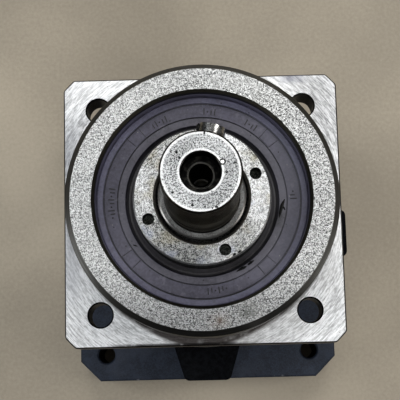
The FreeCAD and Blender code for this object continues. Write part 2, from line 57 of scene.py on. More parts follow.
# ------------------------------------------------------------------ camera
def make_camera():
    cam = bpy.data.cameras.new("camera")
    ob = bpy.data.objects.new("camera", cam)
    bpy.context.scene.collection.objects.link(ob)
    t, az, roll = math.radians(8.93561605), math.radians(-87.62004464), math.radians(-1.46671969)
    n = Vector((math.sin(t) * math.cos(az), math.sin(t) * math.sin(az), math.cos(t)))
    up = (Vector((0, 1, 0)) - n * n.y).normalized()
    right = up.cross(n)
    c, s = math.cos(roll), math.sin(roll)
    r = right * c + up * s
    u = up * c - right * s
    f = 1061.97669174
    dist = 228.56325153
    ox = (202.02357223 - 200.0) / f * dist
    oy = -(196.12193211 - 200.0) / f * dist
    pos = n * dist - r * ox - u * oy
    pos = pos * MM + Vector((0, 0, Z_NUT))
    m = Matrix((
        (r.x, u.x, n.x, pos.x),
        (r.y, u.y, n.y, pos.y),
        (r.z, u.z, n.z, pos.z),
        (0, 0, 0, 1)))
    ob.matrix_world = m
    cam.sensor_width = 36.0
    cam.lens = f / 400.0 * 36.0
    cam.clip_start, cam.clip_end = 0.02, 20.0
    bpy.context.scene.camera = ob
    return ob


CAMERA = make_camera()


# ------------------------------------------------------------------ node kit
class Mat:
    """Small helper that builds a node material around one Principled shader."""

    def __init__(self, name):
        self.m = bpy.data.materials.new(name)
        self.m.use_nodes = True
        self.nt = self.m.node_tree
        self.nt.nodes.clear()
        self.out = self.nt.nodes.new("ShaderNodeOutputMaterial")
        self.b = self.nt.nodes.new("ShaderNodeBsdfPrincipled")
        self.nt.links.new(self.b.outputs[0], self.out.inputs[0])
        self._c = {}

    def new(self, kind, **props):
        n = self.nt.nodes.new(kind)
        for k, v in props.items():
            setattr(n, k, v)
        return n

    def put(self, value, socket):
        if isinstance(value, bpy.types.NodeSocket):
            self.nt.links.new(value, socket)
        else:
            socket.default_value = value

    def math(self, op, a, b=0.0, c=0.0, clamp=False):
        n = self.new("ShaderNodeMath", operation=op, use_clamp=clamp)
        self.put(a, n.inputs[0])
        self.put(b, n.inputs[1])
        self.put(c, n.inputs[2])
        return n.outputs[0]

    def add(self, a, b):
        return self.math("ADD", a, b)

    def sub(self, a, b):
        return self.math("SUBTRACT", a, b)

    def mul(self, a, b):
        return self.math("MULTIPLY", a, b)

    def mx(self, a, b):
        return self.math("MAXIMUM", a, b)

    def step(self, v, lo, hi, out_lo=0.0, out_hi=1.0):
        """Smooth ramp of v from lo to hi."""
        n = self.new("ShaderNodeMapRange", interpolation_type="SMOOTHSTEP")
        self.put(v, n.inputs["Value"])
        n.inputs["From Min"].default_value = lo
        n.inputs["From Max"].default_value = hi
        n.inputs["To Min"].default_value = out_lo
        n.inputs["To Max"].default_value = out_hi
        return n.outputs["Result"]

    def band(self, v, lo, hi, soft):
        """1 between lo and hi, 0 outside, with soft edges."""
        return self.mul(self.step(v, lo - soft, lo + soft), self.step(v, hi - soft, hi + soft, 1.0, 0.0))

    def coord(self):
        if "xyz" not in self._c:
            tc = self.new("ShaderNodeTexCoord")
            sp = self.new("ShaderNodeSeparateXYZ")
            self.nt.links.new(tc.outputs["Object"], sp.inputs[0])
            sn = self.new("ShaderNodeSeparateXYZ")
            self.nt.links.new(tc.outputs["Normal"], sn.inputs[0])
            x, y, z = sp.outputs
            self._c["vec"] = tc.outputs["Object"]
            self._c["x"], self._c["y"], self._c["z"] = x, y, z
            self._c["nz"] = self.math("ABSOLUTE", sn.outputs[2])
            r = self.math("SQRT", self.add(self.mul(x, x), self.mul(y, y)))
            self._c["r"] = self.mul(r, 1000.0)
            rs = self.mx(r, 1e-6)
            self._c["c"] = self.math("DIVIDE", x, rs)
            self._c["s"] = self.math("DIVIDE", y, rs)
            self._c["a"] = self.mul(self.math("ARCTAN2", y, x), 180.0 / math.pi)
            self._c["zmm"] = self.mul(z, 1000.0)
            self._c["xyz"] = True
        return self._c

    def vec(self, x, y, z):
        n = self.new("ShaderNodeCombineXYZ")
        self.put(x, n.inputs[0])
        self.put(y, n.inputs[1])
        self.put(z, n.inputs[2])
        return n.outputs[0]

    def noise(self, vec, scale, detail=2.0, rough=0.5, distort=0.0):
        n = self.new("ShaderNodeTexNoise")
        self.put(vec, n.inputs["Vector"])
        n.inputs["Scale"].default_value = scale
        n.inputs["Detail"].default_value = detail
        n.inputs["Roughness"].default_value = rough
        n.inputs["Distortion"].default_value = distort
        return n.outputs["Fac"]

    def cells(self, vec, scale, feature="F1"):
        n = self.new("ShaderNodeTexVoronoi", feature=feature)
        self.put(vec, n.inputs["Vector"])
        n.inputs["Scale"].default_value = scale
        return n.outputs["Distance"]

    def turned(self, per_mm, along, scale=1.0, detail=2.0, seed=0.0):
        """Noise stretched round the axis: lathe marks on a flat face."""
        c = self.coord()
        v = self.vec(self.add(self.mul(c["r"], per_mm), seed), self.mul(c["c"], along), self.mul(c["s"], along))
        return self.noise(v, scale, detail)

    def rings(self, per_mm, along, scale=1.0, detail=2.0, seed=0.0):
        """Noise stretched round the axis: lathe marks on a round side."""
        c = self.coord()
        v = self.vec(self.add(self.mul(c["zmm"], per_mm), seed), self.mul(c["c"], along), self.mul(c["s"], along))
        return self.noise(v, scale, detail)

    def grey(self, v, lo, hi, tint=(1.0, 1.0, 1.0)):
        """Colour from a number between lo and hi, tinted."""
        k = self.math("MULTIPLY_ADD", v, hi - lo, lo)
        n = self.new("ShaderNodeCombineColor")
        for i in range(3):
            self.put(self.mul(k, tint[i]), n.inputs[i])
        return n.outputs[0]

    def mix(self, fac, a, b, kind="MIX"):
        n = self.new("ShaderNodeMix", data_type="RGBA", blend_type=kind)
        self.put(fac, n.inputs["Factor"])
        for value, socket in ((a, n.inputs[6]), (b, n.inputs[7])):
            if isinstance(value, tuple) and len(value) == 3:
                value = (*value, 1.0)
            self.put(value, socket)
        return n.outputs[2]

    def mixf(self, fac, a, b):
        n = self.new("ShaderNodeMix", data_type="FLOAT")
        self.put(fac, n.inputs["Factor"])
        self.put(a, n.inputs[2])
        self.put(b, n.inputs[3])
        return n.outputs[0]

    def bump(self, height, strength=0.2, distance=0.0002, normal=None):
        n = self.new("ShaderNodeBump")
        n.inputs["Strength"].default_value = strength
        n.inputs["Distance"].default_value = distance
        self.put(height, n.inputs["Height"])
        if normal is not None:
            self.put(normal, n.inputs["Normal"])
        return n.outputs[0]

    def finish(self, colour, rough, metallic, normal=None, **fixed):
        self.put(colour if isinstance(colour, bpy.types.NodeSocket) else (*colour, 1.0), self.b.inputs["Base Color"])
        self.put(rough, self.b.inputs["Roughness"])
        self.put(metallic, self.b.inputs["Metallic"])
        if normal is not None:
            self.put(normal, self.b.inputs["Normal"])
        for k, v in fixed.items():
            self.b.inputs[k.replace("_", " ")].default_value = v
        return self.m


def sector(m, a0, a1, soft=1.2):
    """Mask that is 1 between two angles in degrees, measured from +X towards +Y."""
    mid = (a0 + a1) / 2.0
    half = (a1 - a0) / 2.0
    c = m.coord()
    # cosine of the angle from the middle of the sector, free of a seam
    dot = m.add(m.mul(c["c"], math.cos(math.radians(mid))), m.mul(c["s"], math.sin(math.radians(mid))))
    ang = m.mul(m.math("ARCCOSINE", m.math("MINIMUM", m.mx(dot, -0.99999), 0.99999)), 180.0 / math.pi)
    return m.step(ang, half - soft, half + soft, 1.0, 0.0)


# ------------------------------------------------------------------ metals
def speckle(m, size_mm, stretch=1.0):
    c = m.coord()
    return m.noise(c["vec"], 1000.0 / size_mm, 2.5, 0.65)


def near_holes(m, half, radius):
    """Mask for the walls of the four holes that sit at (+-half, +-half) mm."""
    c = m.coord()
    dx = m.sub(m.mul(m.math("ABSOLUTE", c["x"]), 1000.0), half)
    dy = m.sub(m.mul(m.math("ABSOLUTE", c["y"]), 1000.0), half)
    d = m.math("SQRT", m.add(m.mul(dx, dx), m.mul(dy, dy)))
    return m.step(d, radius, radius + 0.12, 1.0, 0.0)


def machined_housing():
    """Turned steel housing: lathe marks on the flange, fine open grain on the pilot face."""
    m = Mat("machined_steel_housing")
    c = m.coord()
    flat = m.step(c["nz"], 0.80, 0.97)
    on_pilot = m.step(c["zmm"], 120.0, 121.0)
    # flange face: tangential streaks of several widths
    s1 = m.turned(2.7, 12.0, 1.0, 3.0)
    s2 = m.turned(4.6, 26.0, 1.0, 2.0, 31.0)
    s3 = m.turned(0.7, 5.0, 1.0, 2.0, 77.0)
    s4 = m.noise(c["vec"], 2300.0, 2.0, 0.6)
    streak = m.add(m.mul(s1, 0.40), m.add(m.mul(s2, 0.34), m.add(m.mul(s3, 0.12), m.mul(s4, 0.14))))
    streak = m.step(streak, 0.37, 0.61)
    # pilot face: open crystalline grain, slightly drawn out round the axis
    g1 = m.noise(c["vec"], 4000.0, 2.0, 0.75)
    g2 = m.noise(c["vec"], 1500.0, 2.0, 0.6)
    g3 = m.turned(3.6, 80.0, 1.0, 2.0, 13.0)
    grain = m.add(m.mul(g1, 0.50), m.add(m.mul(g2, 0.22), m.mul(g3, 0.28)))
    grain = m.step(grain, 0.385, 0.615)
    # round sides: fine rings and finger-dark patches
    t1 = m.rings(5.0, 3.0, 1.0, 2.0)
    t2 = m.noise(c["vec"], 90.0, 3.0, 0.6)
    side = m.add(m.mul(t1, 0.6), m.mul(t2, 0.4))
    side = m.step(side, 0.3, 0.7)
    face = m.mixf(on_pilot, streak, grain)
    pattern = m.mixf(flat, side, face)
    # broad soft clouds of painted highlight so that the flange and the pilot face are not evenly bright
    broad = m.step(m.noise(c["vec"], 34.0, 2.0, 0.5), 0.36, 0.62)
    flange_col = m.mix(broad, m.grey(streak, 0.36, 0.78, (0.985, 1.0, 1.015)), m.grey(streak, 0.56, 0.94, (0.99, 1.0, 1.01)))
    pilot_col = m.grey(grain, 0.035, 0.72, (0.985, 1.0, 0.995))
    pilot_col = m.mix(m.mul(m.step(broad, 0.2, 0.9), 0.14), pilot_col, (0.70, 0.71, 0.70))
    # painted shade: the pilot face is darker towards the bottom and a little darker at the top
    fall = m.step(m.mul(c["y"], 1000.0), -28.5, -12.0, 1.0, 0.0)
    rise = m.step(m.mul(c["y"], 1000.0), 18.0, 27.0)
    pilot_col = m.mix(m.add(m.mul(fall, 0.62), m.mul(rise, 0.10)), pilot_col, m.grey(grain, 0.025, 0.22, (0.98, 1.0, 1.03)))
    col_face = m.mix(on_pilot, flange_col, pilot_col)
    # painted shade and dark reflection: the rim of the pilot, its chamfer, the flange sides and the bore mouth are
    # painted dark
    rim = m.step(c["zmm"], 112.4, 113.2)
    edge_face = m.band(c["zmm"], 103.9, 112.1, 0.1)
    col_side = m.mix(edge_face, m.grey(side, 0.20, 0.36, (1.0, 0.985, 0.96)), m.grey(side, 0.06, 0.14, (1.0, 0.97, 0.94)))
    col_side = m.mix(rim, col_side, m.grey(side, 0.085, 0.165, (1.0, 0.995, 0.95)))
    # painted shadow: the side of the pilot is near black towards the bottom
    under = m.mul(m.step(m.mul(c["y"], 1000.0), -29.0, -16.0, 1.0, 0.0), rim)
    col_side = m.mix(m.mul(under, 0.75), col_side, (0.022, 0.023, 0.024))
    # painted shade: the upper bore wall is black; the lower wall is painted a light violet grey like the seal
    inner = m.step(c["r"], 24.6, 24.9, 1.0, 0.0)
    mouth = m.band(c["nz"], 0.55, 0.85, 0.05)
    bore_band_low = m.step(c["zmm"], 127.1, 127.5, 1.0, 0.0)
    bore = m.mix(bore_band_low, (0.016, 0.016, 0.016), (0.50, 0.49, 0.56))
    col_side = m.mix(inner, col_side, m.mix(mouth, bore, (0.115, 0.108, 0.088)))
    # painted shade: the walls of the four flange holes are near black
    col_side = m.mix(m.mul(edge_face, near_holes(m, 24.04, 3.02)), col_side, (0.010, 0.010, 0.010))
    col = m.mix(flat, col_side, col_face)
    # cloudy staining
    cloud = m.step(m.noise(c["vec"], 60.0, 3.0, 0.55), 0.54, 0.74)
    col = m.mix(m.mul(cloud, 0.20), col, (0.42, 0.42, 0.40))
    # brown rust spot and a grey blotch on the pilot face
    fine = m.noise(c["vec"], 1700.0, 3.0, 0.7)
    spot = m.mul(m.mul(sector(m, 275.8, 277.4, 1.2), m.band(c["r"], 26.3, 27.4, 0.5)), on_pilot)
    spot = m.mul(spot, m.step(fine, 0.34, 0.46))
    col = m.mix(m.mul(spot, 0.95), col, (0.032, 0.014, 0.009))
    halo = m.mul(m.mul(sector(m, 272.5, 280.5, 3.5), m.band(c["r"], 25.6, 28.2, 1.1)), on_pilot)
    col = m.mix(m.mul(halo, 0.16), col, (0.36, 0.28, 0.22))
    blot = m.mul(m.mul(sector(m, 286.5, 294.0, 2.6), m.band(c["r"], 25.0, 27.8, 0.9)), on_pilot)
    col = m.mix(m.mul(m.mul(blot, 0.8), m.step(fine, 0.36, 0.56)), col, (0.10, 0.105, 0.10))
    # black specks scattered round the lower right of the ring
    fleck = m.step(m.cells(c["vec"], 1150.0), 0.16, 0.26, 1.0, 0.0)
    fleck = m.mul(fleck, m.step(m.noise(c["vec"], 420.0, 2.0), 0.46, 0.54))
    fleck = m.mul(m.mul(fleck, sector(m, 268.0, 302.0, 7.0)), m.mul(m.band(c["r"], 24.6, 28.6, 0.6), on_pilot))
    col = m.mix(m.mul(fleck, 0.92), col, (0.018, 0.018, 0.018))
    # painted shade and dark reflection where the pilot meets the flange, widest at the lower middle
    low = m.mul(sector(m, 252.0, 284.0, 16.0), 1.5)
    reach = m.sub(m.sub(c["r"], 30.0), low)
    join_shade = m.mul(m.mul(flat, m.step(reach, 0.0, 1.15, 1.0, 0.0)), m.step(on_pilot, 0.0, 1.0, 1.0, 0.0))
    join_shade = m.mul(join_shade, m.step(m.noise(c["vec"], 260.0, 3.0, 0.6), 0.25, 0.50, 0.55, 1.0))
    col = m.mix(m.mul(join_shade, 0.92), col, (0.045, 0.036, 0.032))
    # the front edge of the flange is black in its middle stretch
    front_edge_dark = m.mul(m.step(m.mul(c["y"], 1000.0), -31.1, -30.6, 1.0, 0.0), m.band(m.mul(c["x"], 1000.0), -21.0, 9.0, 6.0))
    front_edge_dark = m.mul(m.mul(front_edge_dark, m.step(on_pilot, 0.0, 1.0, 1.0, 0.0)), m.step(m.noise(c["vec"], 330.0, 3.0, 0.6), 0.30, 0.48))
    col = m.mix(m.mul(front_edge_dark, 0.85), col, (0.014, 0.013, 0.013))
    # painted dark reflection at the upper right edge of the flange
    top_right_reflection = m.mul(m.step(c["y"], 0.0290, 0.0304), m.band(m.mul(c["x"], 1000.0), 19.5, 25.5, 1.4))
    top_right_reflection = m.mul(top_right_reflection, m.step(on_pilot, 0.0, 1.0, 1.0, 0.0))
    col = m.mix(m.mul(top_right_reflection, m.step(m.noise(c["vec"], 300.0, 2.0), 0.30, 0.50, 0.30, 0.75)), col, (0.20, 0.205, 0.25))
    # dark pits and small nicks
    pits = m.step(m.cells(c["vec"], 760.0), 0.07, 0.13, 1.0, 0.0)
    pits = m.mul(pits, m.step(m.noise(c["vec"], 130.0, 2.0), 0.50, 0.57))
    pits = m.mul(pits, m.mixf(on_pilot, 0.45, 1.0))
    col = m.mix(m.mul(pits, 0.9), col, (0.03, 0.028, 0.026))
    # painted reflection: the flange is darker along its left edge, so the lower right stays brighter
    xm = m.mul(c["x"], 1000.0)
    left = m.mul(m.step(xm, -30.5, -26.5, 1.0, 0.0), m.step(m.math("ABSOLUTE", c["y"]), 0.014, 0.026, 1.0, 0.0))
    left = m.mul(left, m.step(on_pilot, 0.0, 1.0, 1.0, 0.0))
    col = m.mix(m.mul(m.mul(flat, left), 0.45), col, (0.26, 0.27, 0.30))
    # painted reflection: the upper right and lower left corners are a shade darker
    diag = m.mul(m.step(m.math("ABSOLUTE", c["x"]), 0.019, 0.025), m.step(m.mul(c["x"], m.mul(c["y"], 1.0e6)), 300.0, 600.0))
    diag = m.mx(m.mul(m.mul(diag, m.step(c["x"], 0.0, 0.01)), 0.55),
                m.mul(m.mul(m.step(xm, -30.0, -20.0, 1.0, 0.0), m.step(c["y"], -0.028, -0.018, 1.0, 0.0)), 0.40))
    diag = m.mul(m.mul(diag, flat), m.step(on_pilot, 0.0, 1.0, 1.0, 0.0))
    col = m.mix(diag, col, m.grey(streak, 0.20, 0.60, (0.99, 1.0, 1.02)))
    face_rough = m.mixf(on_pilot, 0.58, 0.47)
    rough = m.mixf(flat, 0.42, m.math("MULTIPLY_ADD", pattern, -0.12, face_rough))
    n = m.bump(pattern, 0.42, 0.00007)
    n = m.bump(pits, 0.25, -0.0001, n)
    return m.finish(col, rough, 1.0, n)


def shaft_metal():
    """Ground shaft: grainy end face with pits, darker rubbed sides, bores painted near black as shade."""
    m = Mat("shaft_steel")
    c = m.coord()
    flat = m.step(c["nz"], 0.80, 0.97)
    g1 = m.noise(c["vec"], 2600.0, 2.5, 0.7)
    g2 = m.noise(c["vec"], 5200.0, 2.0, 0.6)
    g3 = m.turned(3.0, 30.0, 1.0, 2.0, 5.0)
    grain = m.step(m.add(m.mul(g1, 0.46), m.add(m.mul(g2, 0.30), m.mul(g3, 0.24))), 0.405, 0.575)
    broad = m.step(m.noise(c["vec"], 120.0, 2.0, 0.5), 0.36, 0.62)
    col_face = m.mix(broad, m.grey(grain, 0.035, 0.54, (0.975, 1.0, 1.01)), m.grey(grain, 0.11, 0.72, (0.98, 1.0, 1.01)))
    # painted highlight: bright rings round the counterbore and the outside of the end face
    lip = m.mx(m.band(c["r"], 3.95, 4.45, 0.15), m.band(c["r"], 7.2, 7.7, 0.15))
    col_face = m.mix(m.mul(lip, 0.65), col_face, (0.93, 0.94, 0.94))
    pits = m.step(m.cells(c["vec"], 1150.0), 0.10, 0.19, 1.0, 0.0)
    pits = m.mul(pits, m.step(m.noise(c["vec"], 300.0, 2.0), 0.44, 0.53))
    big = m.mul(m.step(m.cells(c["vec"], 420.0), 0.075, 0.125, 1.0, 0.0), m.step(m.noise(c["vec"], 210.0, 2.0), 0.50, 0.56))
    pits = m.mx(pits, big)
    col_face = m.mix(m.mul(pits, 0.9), col_face, (0.03, 0.03, 0.03))
    # separate pits and the dent beside the counterbore
    on_end = m.step(c["zmm"], 159.6, 159.8)
    xm, ym = m.mul(c["x"], 1000.0), m.mul(c["y"], 1000.0)

    def away(px, py):
        dx, dy = m.sub(xm, px), m.sub(ym, py)
        return m.math("SQRT", m.add(m.mul(dx, dx), m.mul(dy, dy)))

    wob = m.mul(m.sub(m.noise(c["vec"], 2600.0, 2.0, 0.6), 0.5), 0.55)
    dots = None
    for px, py, pr in ((-4.5, 3.8, 0.26), (-3.9, 2.7, 0.24), (-7.2, -2.8, 0.20), (-5.4, -3.9, 0.25),
                       (-1.7, -6.4, 0.30), (2.05, -7.0, 0.20), (2.85, -6.85, 0.26), (-1.2, 5.6, 0.18), (4.9, -1.6, 0.17)):
        d = m.step(m.add(away(px, py), wob), pr - 0.06, pr + 0.07, 1.0, 0.0)
        dots = d if dots is None else m.mx(dots, d)
    dots = m.mul(dots, on_end)
    ddent = m.add(away(4.15, 1.75), wob)
    dent = m.mul(m.band(ddent, 0.36, 0.62, 0.06), on_end)
    dots = m.mx(dots, dent)
    glint = m.mul(m.step(ddent, 0.26, 0.36, 1.0, 0.0), on_end)
    nick = m.mul(m.mul(sector(m, 82.0, 84.6, 0.6), m.step(c["r"], 7.0, 7.2)), on_end)
    dots = m.mx(dots, nick)
    col_face = m.mix(m.mul(dots, 0.95), col_face, (0.012, 0.012, 0.012))
    col_face = m.mix(glint, col_face, (0.97, 0.97, 0.97))
    pits = m.mx(pits, dots)
    shoulder = m.mul(m.step(c["zmm"], 130.2, 130.4), m.step(c["zmm"], 132.1, 132.4, 1.0, 0.0))
    col_face = m.mix(m.mul(shoulder, 0.85), col_face, m.grey(m.turned(2.6, 3.0, 1.0, 2.0, 9.0), 0.02, 0.26, (1.0, 1.0, 0.97)))
    rings = m.rings(3.2, 1.2, 1.0, 3.0, 3.0)
    dull = m.noise(c["vec"], 140.0, 3.0, 0.6)
    side = m.step(m.add(m.mul(rings, 0.65), m.mul(dull, 0.35)), 0.33, 0.66)
    col_side = m.grey(side, 0.030, 0.090, (1.0, 0.965, 0.92))
    # light, black and brown bands follow each other down the shaft
    for z0, z1, soft, fac, tint in ((130.4, 132.0, 0.1, 0.90, (0.38, 0.37, 0.35)),
                                    (132.9, 134.9, 0.3, 0.80, (0.34, 0.335, 0.32)),
                                    (138.0, 143.6, 1.2, 0.70, (0.30, 0.295, 0.28)),
                                    (146.6, 152.6, 1.2, 0.70, (0.016, 0.016, 0.016)),
                                    (154.0, 158.6, 0.7, 0.45, (0.075, 0.060, 0.045))):
        col_side = m.mix(m.mul(m.band(c["zmm"], z0, z1, soft), fac), col_side, tint)
    patch = m.mul(m.step(m.noise(c["vec"], 240.0, 3.0, 0.6), 0.52, 0.64), m.step(c["zmm"], 136.0, 138.0))
    col_side = m.mix(m.mul(patch, 0.45), col_side, (0.085, 0.066, 0.050))
    # painted shade: the groove below the shoulder is near black
    groove = m.mul(m.step(c["zmm"], 130.25, 130.35, 1.0, 0.0), m.step(c["r"], 9.9, 10.0, 1.0, 0.0))
    col_side = m.mix(m.mul(groove, 0.9), col_side, (0.010, 0.011, 0.009))
    col = m.mix(flat, col_side, col_face)
    # counterbore and tapped hole: painted shade, near black, with plain steel at the thread mouth and the foot
    hole = m.mul(m.step(c["r"], 3.86, 3.92, 1.0, 0.0), m.step(c["zmm"], 159.70, 159.85, 1.0, 0.0))
    deep = m.mix(m.step(m.noise(c["vec"], 900.0, 3.0, 0.6), 0.45, 0.65), (0.008, 0.008, 0.008), (0.045, 0.043, 0.038))
    mouth = m.mul(m.band(c["r"], 2.35, 2.62, 0.10), m.band(c["zmm"], 155.3, 155.9, 0.1))
    deep = m.mix(m.mul(mouth, 0.8), deep, (0.75, 0.74, 0.70))
    foot = m.step(c["zmm"], 140.1, 140.4, 1.0, 0.0)
    deep = m.mix(foot, deep, (0.80, 0.79, 0.74))
    col = m.mix(hole, col, deep)
    rough = m.mixf(flat, m.math("MULTIPLY_ADD", side, -0.08, 0.34), m.math("MULTIPLY_ADD", grain, -0.12, 0.54))
    n = m.bump(m.mixf(flat, side, grain), 0.40, 0.00006)
    n = m.bump(pits, 0.35, -0.00014, n)
    return m.finish(col, rough, 1.0, n, Specular_Tint=(0.30, 0.285, 0.26, 1.0))


def nut_metal():
    """Smooth ground nut face with blue-brown staining."""
    m = Mat("nut_steel")
    c = m.coord()
    flat = m.step(c["nz"], 0.80, 0.97)
    fine = m.turned(4.2, 16.0, 1.0, 3.0)
    g = m.noise(c["vec"], 2400.0, 2.5, 0.7)
    g2 = m.noise(c["vec"], 4800.0, 2.0, 0.6)
    k = m.step(m.add(m.mul(fine, 0.26), m.add(m.mul(g, 0.44), m.mul(g2, 0.30))), 0.41, 0.59)
    broad = m.step(m.noise(c["vec"], 95.0, 2.0, 0.5), 0.38, 0.62)
    col = m.mix(broad, m.grey(k, 0.05, 0.66, (0.985, 1.0, 0.98)), m.grey(k, 0.28, 0.92, (0.985, 1.0, 1.01)))
    # painted shade: the lower part of the nut face is darker, most on the left
    base = m.mul(m.step(m.mul(c["y"], 1000.0), -13.5, -8.0, 1.0, 0.0), m.step(c["x"], -0.004, 0.006, 1.0, 0.35))
    col = m.mix(m.mul(base, 0.55), col, m.grey(k, 0.05, 0.34, (0.98, 1.0, 1.0)))
    near = m.step(c["r"], 10.2, 12.6, 1.0, 0.0)
    brown = m.step(m.add(m.noise(c["vec"], 170.0, 3.0, 0.6), m.mul(near, 0.07)), 0.50, 0.66)
    blue = m.step(m.noise(m.vec(m.add(c["x"], 0.03), c["y"], c["z"]), 190.0, 2.0, 0.5), 0.56, 0.68)
    col = m.mix(m.mul(brown, 0.55), col, m.grey(k, 0.20, 0.44, (1.0, 0.93, 0.70)))
    col = m.mix(m.mul(blue, 0.32), col, (0.50, 0.54, 0.68))
    scuff = m.step(m.cells(c["vec"], 880.0), 0.08, 0.15, 1.0, 0.0)
    scuff = m.mul(scuff, m.step(m.noise(c["vec"], 230.0, 2.0), 0.50, 0.57))
    col = m.mix(m.mul(scuff, 0.85), col, (0.035, 0.03, 0.025))
    # painted shade: below its top face the nut is dark, near black next to the shaft
    low = m.step(c["zmm"], 130.0, 130.25, 1.0, 0.0)
    col = m.mix(flat, m.grey(k, 0.22, 0.42), col)
    col = m.mix(low, col, m.mix(m.step(c["r"], 10.9, 11.1), (0.006, 0.006, 0.006), m.grey(k, 0.02, 0.12, (0.92, 1.0, 0.90))))
    inside = m.mul(m.step(c["r"], 10.55, 10.7, 1.0, 0.0), m.step(c["zmm"], 129.9, 130.05))
    col = m.mix(m.mul(inside, 0.8), col, m.grey(k, 0.16, 0.34, (1.0, 0.96, 0.86)))
    rough = m.math("MULTIPLY_ADD", k, -0.12, 0.47)
    n = m.bump(k, 0.24, 0.00005)
    n = m.bump(scuff, 0.3, -0.00010, n)
    return m.finish(col, rough, 1.0, n)


def plain_metal(name, lo, hi, tint, rough, size=0.5, axis_rings=True, stain=0.15):
    """General machined metal for the inner and rear pieces."""
    m = Mat(name)
    c = m.coord()
    g = speckle(m, size)
    if axis_rings:
        flat = m.step(c["nz"], 0.80, 0.97)
        lines = m.mixf(flat, m.rings(4.0, 4.0, 1.0, 2.0), m.turned(4.0, 8.0, 1.0, 2.0))
    else:
        lines = m.noise(m.vec(m.mul(c["x"], 1200.0), m.mul(c["y"], 1200.0), m.mul(c["z"], 150.0)), 1.0, 2.0)
    k = m.step(m.add(m.mul(g, 0.5), m.mul(lines, 0.5)), 0.36, 0.64)
    col = m.grey(k, lo, hi, tint)
    cloud = m.step(m.noise(c["vec"], 110.0, 3.0), 0.5, 0.7)
    col = m.mix(m.mul(cloud, stain), col, (lo * 0.5, lo * 0.48, lo * 0.44))
    r = m.math("MULTIPLY_ADD", k, -0.10, rough + 0.05)
    return m.finish(col, r, 1.0, m.bump(k, 0.16, 0.00004))


def anodised_plate():
    """Dark blue-grey anodised plate: fine blasted grain, dusty, rubbed along its edges, with painted highlight on the
    bevel and painted shade in the motor holes.
    """
    m = Mat("black_anodised_plate")
    c = m.coord()
    g1 = speckle(m, 0.35)
    g2 = m.noise(c["vec"], 420.0, 3.0, 0.6)
    k = m.step(m.add(m.mul(g1, 0.6), m.mul(g2, 0.4)), 0.35, 0.65)
    col = m.grey(k, 0.020, 0.046, (0.74, 0.96, 1.45))
    dust = m.step(m.noise(c["vec"], 55.0, 4.0, 0.65), 0.46, 0.72)
    col = m.mix(m.mul(dust, 0.30), col, (0.085, 0.095, 0.125))
    # bare metal shows where the outline is rubbed, and the bevel carries a painted highlight
    ax = m.math("ABSOLUTE", c["x"])
    ay = m.math("ABSOLUTE", c["y"])
    edge = m.mx(m.step(ax, 0.0391, 0.0399), m.step(ay, 0.0391, 0.0399))
    rub_and_highlight = m.mul(edge, m.step(m.noise(c["vec"], 380.0, 3.0, 0.7), 0.60, 0.68))
    rub_and_highlight = m.mul(rub_and_highlight, m.step(c["nz"], 0.15, 0.5))
    col = m.mix(m.mul(rub_and_highlight, 0.5), col, (0.30, 0.31, 0.34))
    # painted shade: the walls of the motor holes and their threads are near black
    col = m.mix(m.mul(near_holes(m, 31.82, 2.75), m.step(c["zmm"], 17.4, 17.6, 1.0, 0.0)), col, (0.006, 0.006, 0.008))
    rough = m.math("MULTIPLY_ADD", k, 0.10, 0.48)
    n = m.bump(k, 0.28, 0.00006)
    return m.finish(col, rough, 0.10, n, Specular_IOR_Level=0.32)


def black_casting():
    """Satin black finish over a fine cast skin."""
    m = Mat("black_paint_casting")
    c = m.coord()
    skin = m.noise(c["vec"], 900.0, 4.0, 0.6)
    fine = m.noise(c["vec"], 2600.0, 2.0, 0.5)
    k = m.step(m.add(m.mul(skin, 0.65), m.mul(fine, 0.35)), 0.36, 0.64)
    col = m.grey(k, 0.003, 0.009, (0.9, 0.98, 1.2))
    dust = m.step(m.noise(c["vec"], 70.0, 4.0, 0.7), 0.54, 0.78)
    col = m.mix(m.mul(dust, 0.08), col, (0.05, 0.053, 0.06))
    rough = m.math("MULTIPLY_ADD", k, 0.12, 0.46)
    n = m.bump(skin, 0.40, 0.00012)
    n = m.bump(fine, 0.15, 0.00004, n)
    return m.finish(col, rough, 0.0, n, Specular_IOR_Level=0.03)


